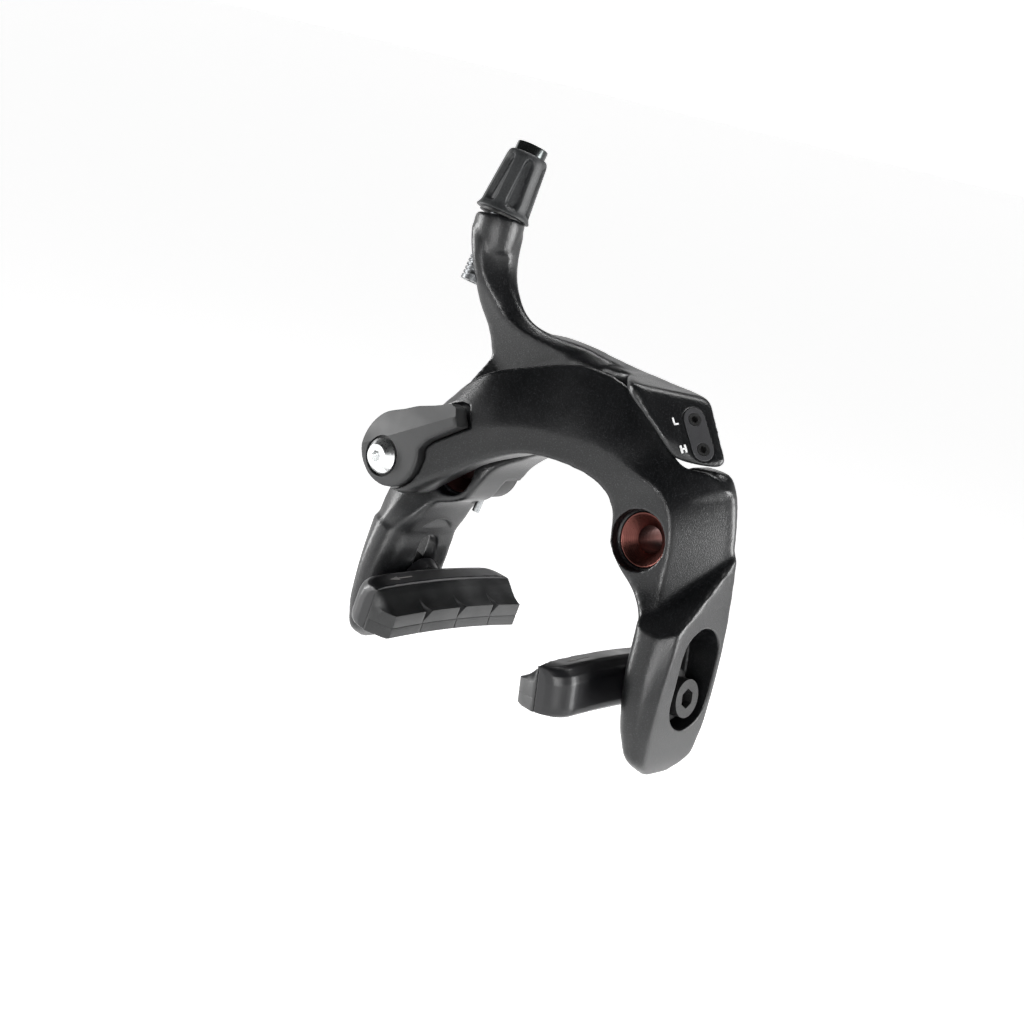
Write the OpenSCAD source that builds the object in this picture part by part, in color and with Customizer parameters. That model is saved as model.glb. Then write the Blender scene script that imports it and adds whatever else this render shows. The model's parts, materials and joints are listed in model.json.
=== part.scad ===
// Dual-pivot rim brake caliper for a two-post (direct) mount, drawn with its pads sprung open.
// X runs to the right seen from the front, Y runs back toward the frame, Z runs up.
// The origin lies midway between the two post holes, on the face that bolts to the frame.

/* [Mounting] */
// Distance between the two mounting posts
post_spacing = 56; // [54:0.5:58]
// Clearance hole for the mounting bolts, radius
post_hole_r = 3.2; // [3:0.05:3.5]

/* [Pads] */
// How far each leg has swung out from the upright pad position, degrees
open_angle = 8; // [6:1:10]
// Brake pad length
pad_length = 50; // [40:1:56]
// Brake pad height
pad_tall = 10.4; // [8:0.2:12]
// Height of the pad bolt below the pivots, legs upright
pad_drop = 34; // [30:0.2:36]
// Travel of the pad bolt in its slot
slot_travel = 9.2; // [6:0.2:10]

/* [Cable] */
// Ferrule bore for the cable housing, radius
housing_r = 2.55; // [2.5:0.05:3]
// Radius of the quick-release hub journal
hub_r = 6.2; // [5:0.1:7]

/* [Hidden] */
$fn = 48;
px = post_spacing / 2;
rim_y = -15;
clearance = 0.05;
pivot_r = 4.75;
collar_r = 6.3;
hub = [-38.4, 1.3];
anchor = [-40.2, -1.1];
sync = [0, 24];
slot_y = -10.2;
screw_step = 3.58;

// ---------- placing helpers ----------

// A cylinder along Y from y0 to y1.
module rod_y(x, z, r, y0, y1, fn = 48)
    translate([x, y0, z])
        rotate([-90, 0, 0])
            cylinder(r = r, h = y1 - y0, $fn = fn);

// A cone along Y from y0 (radius r0) to y1 (radius r1).
module cone_y(x, z, r0, r1, y0, y1)
    translate([x, y0, z])
        rotate([-90, 0, 0])
            cylinder(r1 = r0, r2 = r1, h = y1 - y0);

// A flat X-Z outline carried from y0 to y1.
module slab_y(y0, y1)
    translate([0, y1, 0])
        rotate([90, 0, 0])
            linear_extrude(y1 - y0)
                children();

// A cylinder along X from x0 to x1.
module rod_x(y, z, r, x0, x1, fn = 48)
    translate([x0, y, z])
        rotate([0, 90, 0])
            cylinder(r = r, h = x1 - x0, $fn = fn);

// Puts an upright right-hand leg part where it stands with the leg swung open.
module right_leg()
    translate([px, 0, 0])
        rotate([0, -open_angle, 0])
            translate([-px, 0, 0])
                children();

module left_leg()
    mirror([1, 0, 0])
        right_leg()
            children();

// Stands children on the neck collar, their Z along the cable.
module on_barrel()
    translate([-38.1, -8.8, 59.5])
        rotate([-15.86, 2, 0])
            children();

// ---------- skinned arm bodies ----------

// One ring of the skin: a = inner edge, b = outer edge (both [x, z]), front face at yf for the
// first share sr of the width, then falling back to yo at the outer edge; back face at yb.
// cf rounds the inner front corner, c the back corners.
function ring(a, b, yf, sr, yo, yb, cf, c) =
    let (w = norm(b - a), e = (b - a) / w, r = sr * w, d = w - r, g = yo - yf)
    [for (p = [
        [0, yb - c], [0, yf + cf], [0.25 * cf, yf + 0.35 * cf], [0.7 * cf, yf],
        [r, yf], [r + 0.3 * d, yf + 0.16 * g], [r + 0.62 * d, yf + 0.42 * g],
        [r + 0.88 * d, yf + 0.74 * g], [w, yo], [w, yb - c], [w - c, yb], [c, yb]])
        [a[0] + e[0] * p[0], p[1], a[1] + e[1] * p[0]]];

// Skins a list of rings into one closed body.
module skin(rings) {
    n = len(rings[0]);
    m = len(rings);
    points = [for (q = rings) for (p = q) p];
    sides = [for (i = [0:m - 2]) for (j = [0:n - 1])
        let (k = (j + 1) % n, a = i * n + j, b = i * n + k, c = a + n, d = b + n)
        each [[a, c, b], [b, c, d]]];
    caps = [[for (j = [0:n - 1]) j], [for (j = [n - 1:-1:0]) (m - 1) * n + j]];
    polyhedron(points = points, faces = concat(sides, caps));
}

// Rows: inner edge, outer edge, front y, flat share, outer-edge y, back y, two corner sizes.
right_leg_rows = [
    [[42.2, -50.4], [44, -50.3], -17, 0.8, -16, -9, 0.8, 0.5],
    [[40.2, -47.4], [45.7, -47.6], -22.6, 0.8, -21, -3.4, 2.2, 1],
    [[38.8, -42.4], [47.2, -42], -25.2, 0.78, -23.4, -1, 3.6, 1.2],
    [[37.6, -35], [47.5, -33.6], -26, 0.78, -24.2, -0.5, 4.4, 1.2],
    [[36.2, -27], [47.4, -25.4], -25.4, 0.76, -23.6, -0.5, 4.6, 1.2],
    [[34.8, -20], [47, -17.4], -23.6, 0.72, -21.4, -0.5, 4, 1.2]];
front_rows = concat(right_leg_rows, [
    [[33.4, -14.7], [46.2, -10.4], -21.4, 0.6, -16.6, -0.5, 2.8, 1.2],
    [[30.3, -11], [45, -4], -19.2, 0.46, -14.4, -0.5, 1.6, 1.2],
    [[25, -7.4], [43.8, 2.3], -18.1, 0.5, -13.6, -0.5, 1, 1],
    [[21, -3.2], [42.4, 8.8], -18, 0.58, -13.5, -0.5, 0.8, 0.8],
    [[20.2, 1], [40.4, 14.8], -18, 0.6, -13.5, -0.5, 0.8, 0.8],
    [[19.6, 4], [37.2, 18], -18.2, 0.6, -13, -0.5, 0.8, 0.8],
    [[17.8, 7], [31, 18.1], -18.6, 0.55, -13, -0.5, 0.8, 0.8],
    [[17.2, 7.4], [30, 18.3], -18.7, 0.5, -13.5, -11, 0.8, 0.8],
    [[15.6, 8.6], [27, 21.2], -19, 0.4, -13, -11, 0.8, 0.8],
    [[12, 10], [21.8, 26.4], -19.5, 0.3, -12.5, -11, 0.6, 0.6],
    [[8.8, 10.6], [15.2, 30.2], -20, 0.2, -12.2, -11, 0.6, 0.6],
    [[4.8, 10.9], [8, 32.4], -20.7, 0.17, -12.2, -11, 0.6, 0.6],
    [[0.9, 10.9], [1, 33], -21.4, 0.16, -12.2, -11, 0.6, 0.6],
    [[-5, 10.2], [-5.5, 31.9], -22.7, 0.2, -12.4, -11, 0.6, 0.6],
    [[-10.3, 8.6], [-12.4, 29.6], -24.2, 0.25, -15, -13, 0.8, 0.8],
    [[-15, 5.8], [-18.5, 26.8], -25.7, 0.3, -22, -19.8, 1, 1],
    [[-20, 2.4], [-24.5, 22.8], -27.2, 0.38, -22, -20.4, 0.8, 0.8],
    [[-25.5, -1.2], [-30, 16.5], -28.4, 0.42, -22.5, -20.4, 0.8, 0.8],
    [[-31, -4.8], [-34.5, 11.5], -29.3, 0.5, -23, -20.4, 0.8, 0.8],
    [[-36.4, -7.6], [-39.4, 10.4], -29.6, 0.7, -25, -20.4, 0.8, 0.8],
    [[-42, -6.6], [-44.6, 7.6], -28, 0.6, -24, -20.4, 0.8, 0.8],
    [[-46, -2.6], [-46.8, 3.4], -26, 0.5, -24, -20.4, 0.8, 0.8]]);

function flip(rows) = [for (r = rows) [[-r[0][0], r[0][1]], [-r[1][0], r[1][1]],
    r[2], r[3], r[4], r[5], r[6], r[7]]];
rear_rows = concat(flip(right_leg_rows), [
    [[-33.3, -15.4], [-46.4, -13], -21.6, 0.5, -15, -0.5, 2.6, 1.2],
    [[-32, -12.4], [-43.8, -10], -19.6, 0.5, -15, -0.5, 1.4, 1.2],
    [[-30, -10], [-39.2, -7.8], -18.6, 0.6, -16, -0.5, 1, 1],
    [[-26, -8.6], [-36.4, -3], -18.5, 0.6, -17, -2, 0.6, 0.6],
    [[-22, -6.6], [-35, 4], -18.5, 0.6, -17, -2.5, 0.6, 0.6],
    [[-19.2, -2.4], [-34, 12], -18.5, 0.6, -16.5, -2, 0.6, 0.6],
    [[-16.8, 2.6], [-32.2, 20], -16.5, 0.5, -14, -1, 0.6, 0.6],
    [[-13.2, 6.3], [-29, 29], -10.3, 0.5, -10, -0.5, 0.6, 0.6],
    [[-8.5, 9], [-20.6, 35.6], -10.2, 0.6, -9, -0.5, 0.6, 0.6],
    [[-3, 11.4], [-10, 36.3], -10.2, 0.7, -7.5, -0.5, 0.6, 0.6],
    [[3, 13], [0, 35], -10.2, 0.8, -7.5, -0.5, 0.6, 0.6],
    [[9, 14.8], [9, 33.9], -10.2, 0.8, -7.5, -0.5, 0.6, 0.6],
    [[13, 17.2], [15, 33.4], -10.2, 0.8, -7.7, -0.5, 0.6, 0.6],
    [[16, 19.3], [21, 33], -10.2, 0.8, -8, -0.5, 0.6, 0.6],
    [[24, 19.4], [26.4, 32.2], -10.2, 0.8, -8, -0.5, 0.6, 0.6],
    [[31, 19.4], [30.5, 28], -10.2, 0.8, -8.5, -0.5, 0.6, 0.6]]);
function rings_of(rows) = [for (r = rows) ring(r[0], r[1], r[2], r[3], r[4], r[5], r[6], r[7])];
function turned(rings) = [for (q = rings) [for (j = [len(q) - 1:-1:0]) q[j]]];

// ---------- cuts shared by both arms ----------

// Stepped bearing bore with the flared mouth that the bolt head drops into.
module pivot_bore(x) {
    rod_y(x, 0, 7, -30, rim_y);
    rod_y(x, 0, collar_r + clearance, rim_y - 0.01, rim_y + 3.25);
    rod_y(x, 0, pivot_r + clearance, rim_y + 3, 1);
}

// Obround pad slot with its wide outer recess, right-hand side.
module pad_slot()
    right_leg() {
        for (dz = [0, slot_travel]) {
            rod_x(slot_y, dz - pad_drop, 7.4, 36, 60);
            rod_x(slot_y, dz - pad_drop, 3.4, 20, 60);
        }
        translate([36, slot_y - 7.4, -pad_drop])
            cube([24, 14.8, slot_travel]);
        translate([20, slot_y - 3.4, -pad_drop])
            cube([40, 6.8, slot_travel]);
        translate([24, slot_y - 7.6, -pad_drop - 8])
            cube([8.2, 15.2, slot_travel + 16]);
    }

// Room at the back of an arm for the return spring, its cup and the spring leg.
module spring_room(x, r) {
    rod_y(x, 0, r, -8.5, 1);
    slab_y(-4.2, 1)
        polygon([[x - 2.6 * sign(x), -4], [x - 2.6 * sign(x), -14],
            [x + 3.4 * sign(x), -14], [x + 1.6 * sign(x), -4]]);
}

// Where the sync roller's centre lies on the rear arm once the arms have closed by t degrees.
function sync_path(t) = [
    2 * px * cos(t) - px * cos(2 * t) + sync[1] * sin(2 * t) - px,
    -2 * px * sin(t) + px * sin(2 * t) + sync[1] * cos(2 * t)];
function side_of(t) =
    let (d = sync_path(t + 0.1) - sync_path(t - 0.1))
    [-d[1], d[0]] / norm(d);

// Curved slot that keeps the two arms turning by equal and opposite angles.
module sync_slot(r) {
    steps = [for (t = [-0.6:0.6:12]) t];
    last = len(steps) - 1;
    end_out = atan2(-side_of(steps[last])[0], side_of(steps[last])[1]);
    end_in = atan2(-side_of(steps[0])[0], side_of(steps[0])[1]);
    polygon(concat(
        [for (t = steps) sync_path(t) + r * side_of(t)],
        [for (a = [75:-15:-75]) sync_path(steps[last]) + r * [cos(a + end_out), sin(a + end_out)]],
        [for (i = [last:-1:0]) sync_path(steps[i]) - r * side_of(steps[i])],
        [for (a = [-105:-15:-255]) sync_path(steps[0]) + r * [cos(a + end_in), sin(a + end_in)]]));
}

// ---------- arms ----------

// Outline of the lever cap seen from the front, grown by g: round end, waist and tip.
module lever_outline(g)
    polygon(concat(
        [for (a = [112:6:376]) hub + (9.2 + g) * [cos(a), sin(a)]],
        [[-27.5, 6.6 - g], [-19.6 + g, 12.2],
            [-22 + g, 16.3 + g], [-24 + g, 16.6 + g], [-28.5, 14.9 + g], [-34, 13.2 + g],
            [-38, 11.3 + g]]));

module front_arm()
    color([0.09, 0.09, 0.1])
        difference() {
            skin(rings_of(front_rows));
            pivot_bore(px);
            pad_slot();
            spring_room(px, 8.2);
            slab_y(-40, -24)
                lever_outline(0.5);
            rod_y(hub[0], hub[1], hub_r + clearance, -40, 0);
            rod_y(sync[0], sync[1], 2.05, -16, -5);
        }

// A round ring of radius r about c, square to the direction d.
function round_ring(c, d, r, n = 24) =
    let (w = d / norm(d), u = cross(w, [0, 1, 0]) / norm(cross(w, [0, 1, 0])), v = cross(w, u))
    [for (i = [0:n - 1]) c + r * (cos(i * 360 / n) * u - sin(i * 360 / n) * v)];

// Swept neck that carries the cable adjuster over the left pivot.
module neck()
    skin([
        round_ring([-38.1, -8.8, 59.5], [0.034, 0.273, 0.961], 6.15),
        round_ring([-37.7, -9.9, 55.6], [-0.15, 0.26, 0.95], 6),
        round_ring([-35.8, -10.9, 51.2], [-0.46, 0.24, 0.86], 5.5),
        round_ring([-33.2, -12.1, 47.4], [-0.56, 0.2, 0.8], 5),
        round_ring([-30.8, -13, 43.9], [-0.58, 0.08, 0.81], 4.75),
        round_ring([-28.4, -12.8, 40.6], [-0.62, -0.16, 0.77], 4.9),
        round_ring([-25.4, -11.2, 37.6], [-0.7, -0.36, 0.62], 5.5),
        round_ring([-21.8, -8.4, 35.2], [-0.78, -0.4, 0.48], 5.9),
        round_ring([-16.5, -5.3, 32], [-0.82, -0.35, 0.45], 3.6)]);

// End block that carries the two tension screws above the right-hand shoulder.
module tension_block()
    slab_y(-19.6, -3)
        difference() {
            polygon([[19.5, 32.8], [19.5, 20], [28, 19.4], [37.4, 19.4], [37.8, 21],
                [37.6, 22], [30.8, 31.6], [28.2, 32.8]]);
            circle(r = 35, $fn = 180);
        }

// Places children with Z along the tension screws; d picks the place down the sloping face.
module on_tension_face(d)
    translate([31.2, -8.5, 25.8])
        rotate([0, 54, 0])
            rotate([28, 0, 0])
                translate([d, 0, 0])
                    children();

// Rounded slab around both screws, from depth z0 to z1 of the sloping face.
module stadium_on_face(r, z0, z1)
    on_tension_face(0)
        for (s = [-1, 0, 1])
            translate([s * screw_step, 0, z0])
                if (s == 0)
                    translate([-screw_step, -r, 0])
                        cube([2 * screw_step, 2 * r, z1 - z0]);
                else
                    cylinder(r = r, h = z1 - z0);

module rear_arm()
    color([0.08, 0.08, 0.09])
        difference() {
            union() {
                skin(turned(rings_of(rear_rows)));
                neck();
                tension_block();
            }
            pivot_bore(-px);
            mirror([1, 0, 0])
                pad_slot();
            spring_room(-px, 9.4);
            slab_y(-30, 2)
                sync_slot(3.65);
            on_barrel()
                translate([0, 0, -30])
                    cylinder(r = 3.1, h = 40);
            on_tension_face(0)
                translate([-15, -20, 0])
                    cube([30, 40, 12]);
            stadium_on_face(2.8, -0.9, 4);
            for (d = [-screw_step, screw_step])
                on_tension_face(d)
                    translate([0, 0, -8])
                        cylinder(r = 1.55, h = 12);
        }

// ---------- pivots and springs ----------

module pivot_bushing(x)
    color([0.32, 0.12, 0.09])
        difference() {
            union() {
                rod_y(x, 0, collar_r, rim_y, rim_y + 3.2);
                rod_y(x, 0, pivot_r, rim_y + 3, 0);
            }
            rod_y(x, 0, post_hole_r, -20, 5);
            cone_y(x, 0, 6.01, post_hole_r, rim_y, rim_y + 2.81);
            difference() {
                rod_y(x, 0, 6, -8.42, -7.58);
                rod_y(x, 0, 4.25, -9, -7);
            }
        }

module retaining_ring(x)
    color([0.2, 0.2, 0.21])
        difference() {
            rod_y(x, 0, 6.8, -8.4, -7.6);
            rod_y(x, 0, 4.27, -9, -7);
            translate([x - 1.6, -9, 3])
                cube([3.2, 2, 6]);
        }

// Close-wound torsion spring with a leg that bears on the back of its arm.
module return_spring(x) {
    s = sign(x);
    color([0.72, 0.74, 0.74]) {
        for (y = [-6.55, -4.75, -2.95])
            translate([x, y, 0])
                rotate([90, 0, 0])
                    rotate_extrude()
                        translate([6, 0])
                            circle(r = 0.92, $fn = 24);
        translate([x + 0.2 * s, -2.95, -5.9])
            rotate([0, 180 - 12 * s, 0])
                cylinder(r = 0.95, h = 6.6, $fn = 24);
    }
}

// Sleeve that keeps grit off the coils; notched for the leg.
module spring_cup(x)
    color([0.1, 0.1, 0.1])
        difference() {
            rod_y(x, 0, 7.8, -7.55, -1.3);
            rod_y(x, 0, 7.1, -8, 0);
            translate([x - 2.6, -4.6, -9])
                cube([5.2, 5, 5]);
        }

module sync_pin()
    color([0.6, 0.61, 0.62]) {
        rod_y(sync[0], sync[1], 2, -15.9, -1.6);
        rod_y(sync[0], sync[1], 3.4, -1.6, -0.8);
    }

module sync_roller()
    color([0.15, 0.15, 0.16])
        difference() {
            rod_y(sync[0], sync[1], 3.6, -10.8, -1.7);
            rod_y(sync[0], sync[1], 2.05, -12, 0);
        }

// ---------- quick release and cable anchor ----------

module qr_hub()
    color([0.12, 0.12, 0.12])
        difference() {
            union() {
                rod_y(hub[0], hub[1], hub_r, -24, -20.4);
                rod_y(hub[0], hub[1], 4, -20.5, -19.3);
                rod_y(anchor[0], anchor[1], 3, -26.8, -23.9);
            }
            rod_y(anchor[0], anchor[1], 2.5, -30, -18);
        }

module hub_clip()
    color([0.25, 0.25, 0.26])
        difference() {
            rod_y(hub[0], hub[1], 7.2, -20.35, -19.5);
            rod_y(hub[0], hub[1], 4.03, -21, -19);
        }

// Lever cap with its upper face bevelled back above the crease.
module qr_lever()
    color([0.11, 0.11, 0.11])
        difference() {
            slab_y(-30, -25.6)
                lever_outline(0);
            rod_y(anchor[0], anchor[1], 4.7, -31, -29);
            rod_y(anchor[0], anchor[1], 2.6, -31, -20);
            rod_y(anchor[0], anchor[1], 3.02, -26.85, -20);
            translate([-38.8, -30, 4.4])
                rotate([0, -29, 0])
                    rotate([-16, 0, 0])
                        translate([-14, -12, 0])
                            cube([60, 12, 20]);
        }

module anchor_bolt()
    color([0.85, 0.86, 0.86])
        difference() {
            union() {
                cone_y(anchor[0], anchor[1], 2.75, 4.3, -32.2, -30.3);
                rod_y(anchor[0], anchor[1], 4.3, -30.3, -29.02);
                rod_y(anchor[0], anchor[1], 2.46, -29.1, -20.6);
            }
            rod_y(anchor[0], anchor[1], 1.45, -33, -30, 6);
        }

module clamp_plate()
    color([0.6, 0.6, 0.6])
        difference() {
            rod_y(anchor[0], anchor[1], 5, -25.5, -24.1);
            rod_y(anchor[0], anchor[1], 3.05, -27, -22);
        }

// ---------- cable adjuster ----------

module barrel_washer()
    color([0.05, 0.05, 0.05])
        on_barrel()
            difference() {
                translate([0, 0, 0.02])
                    cylinder(r = 5.6, h = 0.6);
                translate([0, 0, -1])
                    cylinder(r = 3.15, h = 4);
            }

module barrel_stem()
    color([0.7, 0.71, 0.71])
        on_barrel()
            difference() {
                translate([0, 0, -17])
                    cylinder(r = 2.98, h = 26);
                translate([0, 0, -20])
                    cylinder(r = 1.2, h = 40);
                for (z = [-16:1:-8])
                    translate([0, 0, z])
                        difference() {
                            cylinder(r = 4, h = 0.45);
                            translate([0, 0, -1])
                                cylinder(r = 2.6, h = 3);
                        }
            }

module barrel_knob()
    color([0.2, 0.2, 0.21])
        on_barrel()
            difference() {
                rotate_extrude()
                    polygon([[3.02, 0.7], [6.4, 0.7], [6.85, 1.3], [6.3, 2.4], [6.1, 5],
                        [5.7, 9], [5.1, 13], [4.7, 15.9], [4.4, 16.3], [4, 16.3], [4, 9.05],
                        [3.02, 9.05]]);
                for (a = [0:60:300])
                    rotate([0, 0, a + 20])
                        translate([8.2, 0, 2.8])
                            rotate([0, -7, 0])
                                cylinder(r = 2.9, h = 11.5);
            }

module barrel_ferrule()
    color([0.1, 0.11, 0.11])
        on_barrel()
            difference() {
                translate([0, 0, 9.1])
                    cylinder(r = 3.95, h = 9.6);
                translate([0, 0, 10.6])
                    cylinder(r = housing_r, h = 10);
                cylinder(r = 1.2, h = 20);
            }

// ---------- pads ----------

// Cartridge holder, right-hand side, leg upright.
module pad_holder_body() {
    z0 = 0.5 - pad_drop - pad_tall / 2;
    difference() {
        union() {
            translate([0, -14 + pad_length / 2, 0])
                rotate([90, 0, 0])
                    linear_extrude(pad_length)
                        polygon([[21, z0 - 0.6], [27, z0 - 0.6], [28.6, z0 + 1.4],
                            [28.6, z0 + pad_tall - 2.4], [26.4, z0 + pad_tall + 0.6],
                            [21, z0 + pad_tall + 0.6]]);
            rod_x(slot_y, -pad_drop, 5.6, 28, 29.4);
        }
        rod_x(slot_y, -pad_drop, 3, 22.5, 40);
        translate([20, -14 - pad_length / 2 + 3, z0 + 2.2])
            cube([2, pad_length - 6, pad_tall - 4.4]);
        rod_x(6, -pad_drop, 1.5, 20, 40);
    }
}

// Rubber insert with its rib, water grooves and chamfered top, right-hand side, leg upright.
module brake_pad_body() {
    z0 = 0.5 - pad_drop - pad_tall / 2;
    difference() {
        union() {
            translate([0, -14 + pad_length / 2, 0])
                rotate([90, 0, 0])
                    linear_extrude(pad_length)
                        polygon([[14.6, z0 + 0.4], [14.6, z0 + 3.9], [16.2, z0 + pad_tall],
                            [20.98, z0 + pad_tall], [20.98, z0], [15, z0]]);
            translate([20.9, -14 - pad_length / 2 + 3.05, z0 + 2.25])
                cube([1, pad_length - 6.1, pad_tall - 4.5]);
        }
        for (y = [-26, -14, -2])
            translate([14, y, z0 - 1])
                rotate([0, 0, 45])
                    cube([2.1, 2.1, 20], center = false);
        rod_x(slot_y, -pad_drop, 3.2, 21.5, 40);
        rod_x(6, -pad_drop, 1.5, 20.4, 40);
    }
}

module pad_bolt_body()
    difference() {
        union() {
            rod_x(slot_y, -pad_drop, 4.5, 37.85, 42.2);
            rod_x(slot_y, -pad_drop, 2.95, 22.6, 37.9);
        }
        rod_x(slot_y, -pad_drop, 2.35, 39.4, 50, 6);
    }

module seat_washer_body()
    difference() {
        rod_x(slot_y, -pad_drop, 6.4, 36.03, 37.83);
        rod_x(slot_y, -pad_drop, 3.05, 30, 50);
    }

module dome_washer_body()
    difference() {
        translate([29.43, slot_y, -pad_drop])
            rotate([0, 90, 0])
                cylinder(r1 = 5.4, r2 = 6.8, h = 2.74);
        rod_x(slot_y, -pad_drop, 3.05, 20, 50);
    }

module pad_screw_body()
    difference() {
        rod_x(6, -pad_drop, 1.46, 20.5, 28.4);
        rod_x(6, -pad_drop, 0.8, 26.6, 30, 6);
    }

// ---------- tension setting ----------

// Thin rounded insert around the two screws in the sloping end face.
module tension_plate()
    color([0.13, 0.13, 0.13])
        difference() {
            stadium_on_face(2.7, -0.85, 0.15);
            for (d = [-screw_step, screw_step])
                on_tension_face(d)
                    translate([0, 0, -8])
                        cylinder(r = 1.55, h = 12);
        }

module tension_screw(d)
    color([0.03, 0.03, 0.03])
        on_tension_face(d)
            difference() {
                translate([0, 0, -6])
                    cylinder(r = 1.5, h = 6.2);
                translate([0, 0, -1.4])
                    cylinder(r = 0.87, h = 3, $fn = 6);
            }

// ---------- the parts ----------

module pivot_bushing_left() pivot_bushing(-px);
module pivot_bushing_right() pivot_bushing(px);
module retaining_ring_left() retaining_ring(-px);
module retaining_ring_right() retaining_ring(px);
module return_spring_left() return_spring(-px);
module return_spring_right() return_spring(px);
module spring_cup_left() spring_cup(-px);
module spring_cup_right() spring_cup(px);
module pad_holder_left() color([0.12, 0.12, 0.12]) left_leg() pad_holder_body();
module pad_holder_right() color([0.12, 0.12, 0.12]) right_leg() pad_holder_body();
module brake_pad_left() color([0.16, 0.16, 0.16]) left_leg() brake_pad_body();
module brake_pad_right() color([0.16, 0.16, 0.16]) right_leg() brake_pad_body();
module pad_bolt_left() color([0.15, 0.15, 0.15]) left_leg() pad_bolt_body();
module pad_bolt_right() color([0.15, 0.15, 0.15]) right_leg() pad_bolt_body();
module seat_washer_left() color([0.18, 0.18, 0.18]) left_leg() seat_washer_body();
module seat_washer_right() color([0.18, 0.18, 0.18]) right_leg() seat_washer_body();
module dome_washer_left() color([0.14, 0.14, 0.14]) left_leg() dome_washer_body();
module dome_washer_right() color([0.14, 0.14, 0.14]) right_leg() dome_washer_body();
module pad_screw_left() color([0.3, 0.3, 0.3]) left_leg() pad_screw_body();
module pad_screw_right() color([0.3, 0.3, 0.3]) right_leg() pad_screw_body();
module low_screw() tension_screw(-screw_step);
module high_screw() tension_screw(screw_step);

front_arm();
rear_arm();
pivot_bushing_left();
pivot_bushing_right();
retaining_ring_left();
retaining_ring_right();
return_spring_left();
return_spring_right();
spring_cup_left();
spring_cup_right();
sync_pin();
sync_roller();
qr_hub();
qr_lever();
hub_clip();
anchor_bolt();
clamp_plate();
barrel_washer();
barrel_stem();
barrel_knob();
barrel_ferrule();
pad_holder_left();
pad_holder_right();
brake_pad_left();
brake_pad_right();
pad_bolt_left();
pad_bolt_right();
seat_washer_left();
seat_washer_right();
dome_washer_left();
dome_washer_right();
pad_screw_left();
pad_screw_right();
tension_plate();
low_screw();
high_screw();
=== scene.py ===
"""Looks of the rim brake caliper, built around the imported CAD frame. Shapes are drawn in millimetres."""

import json
import math

import bmesh
import bpy
from mathutils import Matrix, Vector


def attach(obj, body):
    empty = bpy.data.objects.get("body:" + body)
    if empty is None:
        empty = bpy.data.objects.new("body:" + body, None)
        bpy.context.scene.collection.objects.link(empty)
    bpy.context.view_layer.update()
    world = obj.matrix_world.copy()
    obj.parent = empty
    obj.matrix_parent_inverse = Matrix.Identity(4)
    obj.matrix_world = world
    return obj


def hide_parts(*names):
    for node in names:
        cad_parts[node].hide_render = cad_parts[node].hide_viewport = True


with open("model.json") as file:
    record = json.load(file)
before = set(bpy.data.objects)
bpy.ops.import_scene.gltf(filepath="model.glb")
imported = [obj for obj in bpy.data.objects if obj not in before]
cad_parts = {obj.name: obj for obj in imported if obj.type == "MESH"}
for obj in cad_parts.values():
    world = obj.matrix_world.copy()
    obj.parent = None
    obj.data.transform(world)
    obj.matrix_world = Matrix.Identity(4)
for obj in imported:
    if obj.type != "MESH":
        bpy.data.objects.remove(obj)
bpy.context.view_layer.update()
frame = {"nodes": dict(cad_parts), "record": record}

MM = 0.001
# Half the distance between the two mounting posts, which stand on the x axis.
POST_X = 28.0
# Front face of the bushings; the arms are open from it to a plane in front of every piece.
RIM_Y = -15.0
FAR_FRONT = -40
# Radii of the openings in the arms.
MOUTH_RADIUS = 7.0
SEAT_RADIUS = 6.4
BUSHING_RADIUS = 4.85
RIGHT_SPRING_RADIUS = 8.2
LEFT_SPRING_RADIUS = 9.4
HUB_RADIUS = 6.25
PIN_RADIUS = 2.05
ROLLER_RADIUS = 3.65
STEM_RADIUS = 3.1
RECESS_RADIUS = 7.4
SLOT_RADIUS = 3.5
LAND_RADIUS = 7.6
ARCH_RADIUS = 35.1
# How far each leg is swung out at rest.
OPEN_ANGLE = math.radians(8)
# The other leg is this much slimmer on its outer side.
SLIMMER = 1.4
# Bolt of a pad: its depth below the posts, its y, and its travel up the slot.
PAD_DROP = 34.0
SLOT_Y = -10.2
SLOT_TRAVEL = 9.2
# The screw that keeps the rubber in its holder is level with the bolt.
SCREW_Y = 6
# Rubber and holder of an upright right-hand leg. The faces and backs are x values, the foot is a z.
PAD_LENGTH = 50.0
PAD_TALL = 10.4
PAD_MIDDLE = RIM_Y + 1
PAD_FOOT = 0.5 - PAD_DROP - PAD_TALL / 2
HOLDER_FACE = 21
HOLDER_BACK = 28.6
HOLDER_LIP = 0.6
HOLDER_CORNER = 5.0
RUBBER_BACK = 20.98
RUBBER_THICK = 6.38
# Axes along y, as (x, z): quick-release hub, anchor bolt in it, and the pin that couples the arms.
HUB = (-38.4, 1.3)
ANCHOR = (-40.2, -1.1)
SYNC = (0.0, 24.0)
# Half the distance between the two tension screws.
SCREW_STEP = 3.58
BODY_OF = {n: b for b, nodes in frame["record"]["behaviour"]["bodies"].items() for n in nodes}


# ---------- mesh helpers ----------


def new_object(name, points, faces):
    """A mesh object with its faces turned outward."""
    mesh = bpy.data.meshes.new(name)
    mesh.from_pydata([tuple(p) for p in points], [], faces)
    bm = bmesh.new()
    bm.from_mesh(mesh)
    bmesh.ops.recalc_face_normals(bm, faces=bm.faces)
    bm.to_mesh(mesh)
    bm.free()
    obj = bpy.data.objects.new(name, mesh)
    bpy.context.scene.collection.objects.link(obj)
    return obj


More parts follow.
